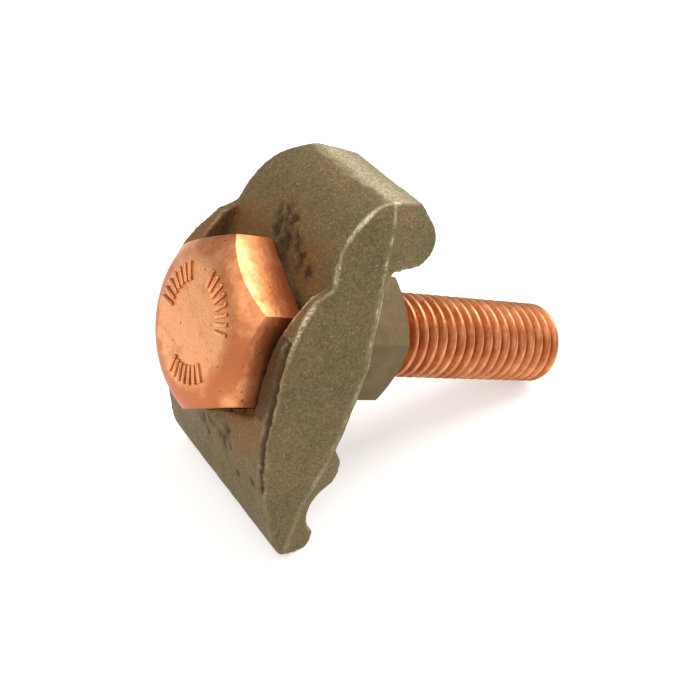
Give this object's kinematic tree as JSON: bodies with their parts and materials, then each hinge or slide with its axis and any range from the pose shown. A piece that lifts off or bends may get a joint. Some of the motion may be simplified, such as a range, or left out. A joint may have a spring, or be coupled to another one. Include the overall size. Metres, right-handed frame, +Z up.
{
  "type": "earth rod clamp",
  "caption": "Cast earth rod clamp: a nosed body with a grooved toe, a hexagon bolt held in its front pocket and a nut run up against its back.",
  "frame": {"origin": "on the ground under the middle of the clamp's bounding box, with the clamp lying on its toe and the end of its bolt", "axes": "+Z up, +X from the bolt head towards the bolt's threaded end, +Y across the width of the cast body"},
  "size_m": [0.0524, 0.026, 0.038],
  "materials": {
    "cast_gunmetal": "sand-cast, rough, edges worn bright",
    "copper_bolt": "satin, forged head, rolled thread",
    "bronze_nut": "dull, smooth"
  },
  "bodies": {
    "clamp": {"clamp_body": "cast_gunmetal", "hexagon_bolt": "copper_bolt"},
    "nut": {"hexagon_nut": "bronze_nut"}
  },
  "joints": [
    {"name": "nut_travel", "type": "slide", "parent": "clamp", "child": "nut", "axis": [0.9059, 0, -0.4236], "range_m": [0, 0.0375]}
  ]
}
